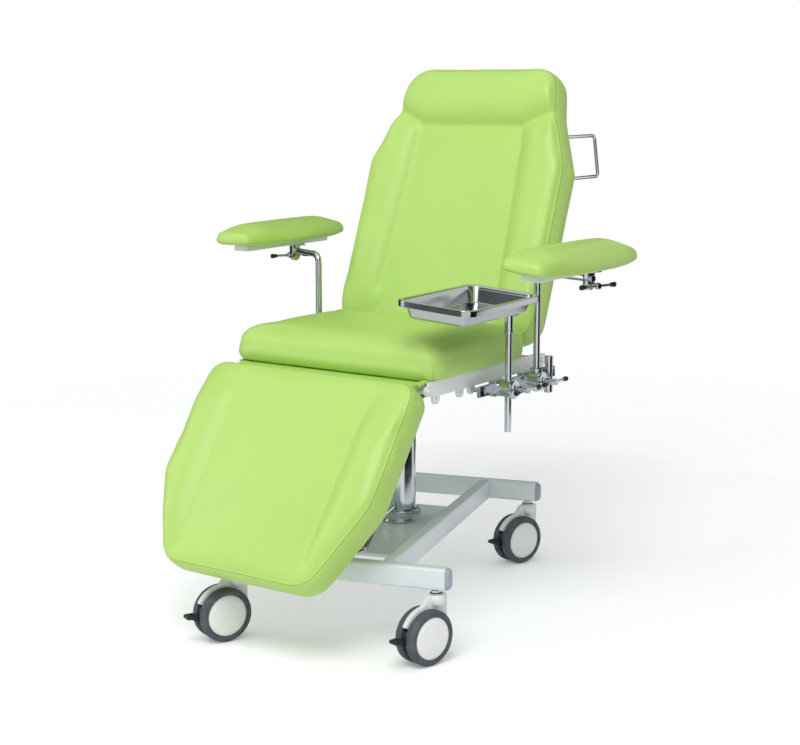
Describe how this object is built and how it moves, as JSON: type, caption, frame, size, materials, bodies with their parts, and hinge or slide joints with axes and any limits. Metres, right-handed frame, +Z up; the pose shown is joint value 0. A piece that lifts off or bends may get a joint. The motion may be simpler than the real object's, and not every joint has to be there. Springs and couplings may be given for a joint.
{
  "type": "patient recliner chair",
  "caption": "Treatment recliner on a hydraulic column and wheeled H-base, with reclining back, folding leg rest, swinging armrests and a clamp-on steel tray",
  "frame": {"origin": "middle of the bounding box at floor level, under the wheels", "axes": "+Z up and the longest extent, +X to the patient's left, -Y the way the patient faces"},
  "size_m": [1.1202, 1.243, 1.2879],
  "materials": {
    "vinyl": "smooth upholstery vinyl with a soft sheen",
    "grey_paint": "satin powder coat",
    "chrome": "polished",
    "tray_steel": "polished stainless steel",
    "cap_plastic": "matt",
    "hood_plastic": "fine grain",
    "tyre_rubber": "matt wheel with a soft tread",
    "black_plastic": "matt",
    "black_paint": "gloss"
  },
  "bodies": {
    "base": {"front_cross_bar": "grey_paint", "rear_cross_bar": "grey_paint", "base_centre_frame": "grey_paint", "end_cap_front_left": "cap_plastic", "end_cap_front_right": "cap_plastic", "end_cap_rear_left": "cap_plastic", "end_cap_rear_right": "cap_plastic", "column_sleeve": "chrome"},
    "pump_pedal": {"pump_pedal": "chrome"},
    "lift": {"column_ram": "chrome"},
    "seat": {"seat_frame": "grey_paint", "seat_cushion": "vinyl", "hinge_flap": "vinyl", "left_accessory_rail": "chrome", "right_accessory_rail": "chrome"},
    "back": {"back_frame": "grey_paint", "back_cushion": "vinyl", "left_push_loop": "chrome", "right_push_loop": "chrome"},
    "leg": {"leg_frame": "grey_paint", "leg_cushion": "vinyl"},
    "back_spring_tube": {"back_gas_spring_tube": "black_paint"},
    "back_spring_rod": {"back_gas_spring_rod": "chrome"},
    "leg_spring_tube": {"leg_gas_spring_tube": "black_paint"},
    "leg_spring_rod": {"leg_gas_spring_rod": "chrome"},
    "release_lever": {"release_lever": "black_plastic"},
    "caster_front_right": {"caster_front_right_hood": "hood_plastic"},
    "caster_front_right_wheels": {"caster_front_right_wheels": "tyre_rubber"},
    "caster_front_right_brake": {"caster_front_right_brake": "black_plastic"},
    "caster_front_left": {"caster_front_left_hood": "hood_plastic"},
    "caster_front_left_wheels": {"caster_front_left_wheels": "tyre_rubber"},
    "caster_front_left_brake": {"caster_front_left_brake": "black_plastic"},
    "caster_rear_left": {"caster_rear_left_hood": "hood_plastic"},
    "caster_rear_left_wheels": {"caster_rear_left_wheels": "tyre_rubber"},
    "caster_rear_left_brake": {"caster_rear_left_brake": "black_plastic"},
    "caster_rear_right": {"caster_rear_right_hood": "hood_plastic"},
    "caster_rear_right_wheels": {"caster_rear_right_wheels": "tyre_rubber"},
    "caster_rear_right_brake": {"caster_rear_right_brake": "black_plastic"},
    "left_clamp": {"left_rail_clamp": "chrome"},
    "left_sleeve": {"left_post_sleeve": "chrome"},
    "left_post": {"left_arm_post": "chrome"},
    "left_bracket": {"left_arm_bracket": "chrome"},
    "left_pad": {"left_pad_rail": "grey_paint", "left_arm_pad": "vinyl"},
    "left_clamp_handle": {"left_clamp_handle": "chrome"},
    "left_tilt_handle": {"left_tilt_handle": "chrome"},
    "right_clamp": {"right_rail_clamp": "chrome"},
    "right_sleeve": {"right_post_sleeve": "chrome"},
    "right_post": {"right_arm_post": "chrome"},
    "right_bracket": {"right_arm_bracket": "chrome"},
    "right_pad": {"right_pad_rail": "grey_paint", "right_arm_pad": "vinyl"},
    "right_clamp_handle": {"right_clamp_handle": "chrome"},
    "right_tilt_handle": {"right_tilt_handle": "chrome"},
    "tray_clamp": {"tray_rail_clamp": "chrome"},
    "tray_clamp_handle": {"tray_clamp_handle": "chrome"},
    "tray_post": {"tray_post": "chrome"},
    "tray": {"tray": "tray_steel"},
    "pole_socket": {"pole_socket": "chrome"}
  },
  "joints": [
    {"name": "pedal_press", "type": "hinge", "parent": "base", "child": "pump_pedal", "pos_m": [-0.031, 0.0249, 0.207], "axis": [0.9613, 0.2756, 0], "range_deg": [0, 4]},
    {"name": "column_lift", "type": "slide", "parent": "base", "child": "lift", "axis": [0, 0, 1], "range_m": [0, 0.17]},
    {"name": "seat_swivel", "type": "hinge", "parent": "lift", "child": "seat", "pos_m": [-0.031, 0.0249, 0.54], "axis": [0, 0, 1], "continuous": true},
    {"name": "back_recline", "type": "hinge", "parent": "seat", "child": "back", "pos_m": [-0.031, 0.2509, 0.58], "axis": [-1, 0, 0], "range_deg": [0, 68]},
    {"name": "leg_raise", "type": "hinge", "parent": "seat", "child": "leg", "pos_m": [-0.031, -0.2541, 0.577], "axis": [-1, 0, 0], "range_deg": [0, 54]},
    {"name": "back_spring_swing", "type": "hinge", "parent": "seat", "child": "back_spring_tube", "pos_m": [-0.109, -0.1531, 0.536], "axis": [-1, 0, 0], "range_deg": [-5.53, 1]},
    {"name": "back_spring_stroke", "type": "slide", "parent": "back_spring_tube", "child": "back_spring_rod", "axis": [0, 0.9953, -0.097], "range_m": [-0.09176, 0.001]},
    {"name": "leg_spring_swing", "type": "hinge", "parent": "seat", "child": "leg_spring_tube", "pos_m": [0.047, 0.1349, 0.536], "axis": [-1, 0, 0], "range_deg": [-1, 11.78]},
    {"name": "leg_spring_stroke", "type": "slide", "parent": "leg_spring_tube", "child": "leg_spring_rod", "axis": [0, -0.9766, -0.215], "range_m": [-0.001, 0.09391]},
    {"name": "release_squeeze", "type": "hinge", "parent": "seat", "child": "release_lever", "pos_m": [-0.267, 0.0649, 0.55], "axis": [-1, 0, 0], "range_deg": [0, 10], "stiffness_Nm_per_rad": 2},
    {"name": "caster_front_right_swivel", "type": "hinge", "parent": "base", "child": "caster_front_right", "pos_m": [-0.1367, -0.47719, 0.165], "axis": [0, 0, 1], "continuous": true},
    {"name": "caster_front_right_roll", "type": "hinge", "parent": "caster_front_right", "child": "caster_front_right_wheels", "pos_m": [-0.15038, -0.5094, 0.0625], "axis": [0.9205, -0.3907, 0], "continuous": true},
    {"name": "caster_front_right_brake_press", "type": "hinge", "parent": "caster_front_right", "child": "caster_front_right_brake", "pos_m": [-0.15038, -0.5094, 0.0625], "axis": [0.9205, -0.3907, 0], "range_deg": [0, 10]},
    {"name": "caster_front_left_swivel", "type": "hinge", "parent": "base", "child": "caster_front_left", "pos_m": [0.3247, -0.34488, 0.165], "axis": [0, 0, 1], "continuous": true},
    {"name": "caster_front_left_roll", "type": "hinge", "parent": "caster_front_left", "child": "caster_front_left_wheels", "pos_m": [0.31623, -0.37884, 0.0625], "axis": [0.9703, -0.2419, 0], "continuous": true},
    {"name": "caster_front_left_brake_press", "type": "hinge", "parent": "caster_front_left", "child": "caster_front_left_brake", "pos_m": [0.31623, -0.37884, 0.0625], "axis": [0.9703, -0.2419, 0], "range_deg": [0, 10]},
    {"name": "caster_rear_left_swivel", "type": "hinge", "parent": "base", "child": "caster_rear_left", "pos_m": [0.10006, 0.43855, 0.165], "axis": [0, 0, 1], "continuous": true},
    {"name": "caster_rear_left_roll", "type": "hinge", "parent": "caster_rear_left", "child": "caster_rear_left_wheels", "pos_m": [0.08924, 0.40526, 0.0625], "axis": [0.9511, -0.309, 0], "continuous": true},
    {"name": "caster_rear_left_brake_press", "type": "hinge", "parent": "caster_rear_left", "child": "caster_rear_left_brake", "pos_m": [0.08924, 0.40526, 0.0625], "axis": [0.9511, -0.309, 0], "range_deg": [0, 10]},
    {"name": "caster_rear_right_swivel", "type": "hinge", "parent": "base", "child": "caster_rear_right", "pos_m": [-0.36135, 0.30624, 0.165], "axis": [0, 0, 1], "continuous": true},
    {"name": "caster_rear_right_roll", "type": "hinge", "parent": "caster_rear_right", "child": "caster_rear_right_wheels", "pos_m": [-0.37885, 0.27593, 0.0625], "axis": [0.866, -0.5, 0], "continuous": true},
    {"name": "caster_rear_right_brake_press", "type": "hinge", "parent": "caster_rear_right", "child": "caster_rear_right_brake", "pos_m": [-0.37885, 0.27593, 0.0625], "axis": [0.866, -0.5, 0], "range_deg": [0, 10]},
    {"name": "left_clamp_slide", "type": "slide", "parent": "seat", "child": "left_clamp", "axis": [0, 1, 0], "range_m": [-0.008, 0.014]},
    {"name": "left_arm_swing", "type": "hinge", "parent": "left_clamp", "child": "left_sleeve", "pos_m": [0.307, 0.1129, 0.555], "axis": [0, 0, 1], "range_deg": [-21, 45]},
    {"name": "left_arm_height", "type": "slide", "parent": "left_sleeve", "child": "left_post", "axis": [0, 0, 1], "range_m": [-0.03, 0.05]},
    {"name": "left_pad_tilt", "type": "hinge", "parent": "left_post", "child": "left_bracket", "pos_m": [0.46657, 0.06714, 0.814], "axis": [0.9613, -0.2756, 0], "range_deg": [-20, 20]},
    {"name": "left_pad_turn", "type": "hinge", "parent": "left_bracket", "child": "left_pad", "pos_m": [0.46657, 0.06714, 0.814], "axis": [0, 0, 1], "range_deg": [-30, 30]},
    {"name": "left_clamp_handle_turn", "type": "hinge", "parent": "left_clamp", "child": "left_clamp_handle", "pos_m": [0.307, 0.1449, 0.55], "axis": [1, 0, 0], "continuous": true},
    {"name": "left_tilt_handle_turn", "type": "hinge", "parent": "left_bracket", "child": "left_tilt_handle", "pos_m": [0.46657, 0.06714, 0.799], "axis": [0.9613, -0.2756, 0], "range_deg": [-25, 25]},
    {"name": "right_clamp_slide", "type": "slide", "parent": "seat", "child": "right_clamp", "axis": [0, 1, 0], "range_m": [-0.15, 0.06]},
    {"name": "right_arm_swing", "type": "hinge", "parent": "right_clamp", "child": "right_sleeve", "pos_m": [-0.369, 0.1469, 0.555], "axis": [0, 0, 1], "range_deg": [-33, 32]},
    {"name": "right_arm_height", "type": "slide", "parent": "right_sleeve", "child": "right_post", "axis": [0, 0, 1], "range_m": [-0.03, 0.05]},
    {"name": "right_pad_tilt", "type": "hinge", "parent": "right_post", "child": "right_bracket", "pos_m": [-0.48683, 0.19691, 0.814], "axis": [-0.9205, 0.3907, 0], "range_deg": [-20, 20]},
    {"name": "right_pad_turn", "type": "hinge", "parent": "right_bracket", "child": "right_pad", "pos_m": [-0.48683, 0.19691, 0.814], "axis": [0, 0, 1], "range_deg": [-30, 30]},
    {"name": "right_clamp_handle_turn", "type": "hinge", "parent": "right_clamp", "child": "right_clamp_handle", "pos_m": [-0.369, 0.1149, 0.55], "axis": [-1, 0, 0], "continuous": true},
    {"name": "right_tilt_handle_turn", "type": "hinge", "parent": "right_bracket", "child": "right_tilt_handle", "pos_m": [-0.48683, 0.19691, 0.799], "axis": [-0.9205, 0.3907, 0], "range_deg": [-25, 25]},
    {"name": "tray_clamp_slide", "type": "slide", "parent": "seat", "child": "tray_clamp", "axis": [0, 1, 0], "range_m": [-0.05, 0.008]},
    {"name": "tray_height", "type": "slide", "parent": "tray_clamp", "child": "tray_post", "axis": [0, 0, 1], "range_m": [-0.02, 0.05]},
    {"name": "tray_swing", "type": "hinge", "parent": "tray_post", "child": "tray", "pos_m": [0.307, -0.0171, 0.7], "axis": [0, 0, 1], "range_deg": [-50, 90]},
    {"name": "tray_clamp_handle_turn", "type": "hinge", "parent": "tray_clamp", "child": "tray_clamp_handle", "pos_m": [0.307, 0.0149, 0.55], "axis": [1, 0, 0], "continuous": true},
    {"name": "pole_socket_slide", "type": "slide", "parent": "seat", "child": "pole_socket", "axis": [0, 1, 0], "range_m": [-0.004, 0.05]}
  ],
  "couplings": [
    {"joint": "back_spring_swing", "follows": "back_recline", "ratio": -0.066658},
    {"joint": "back_spring_stroke", "follows": "back_recline", "m_per_rad": -0.076475},
    {"joint": "leg_spring_swing", "follows": "leg_raise", "ratio": 0.19959},
    {"joint": "leg_spring_stroke", "follows": "leg_raise", "m_per_rad": 0.098581}
  ]
}
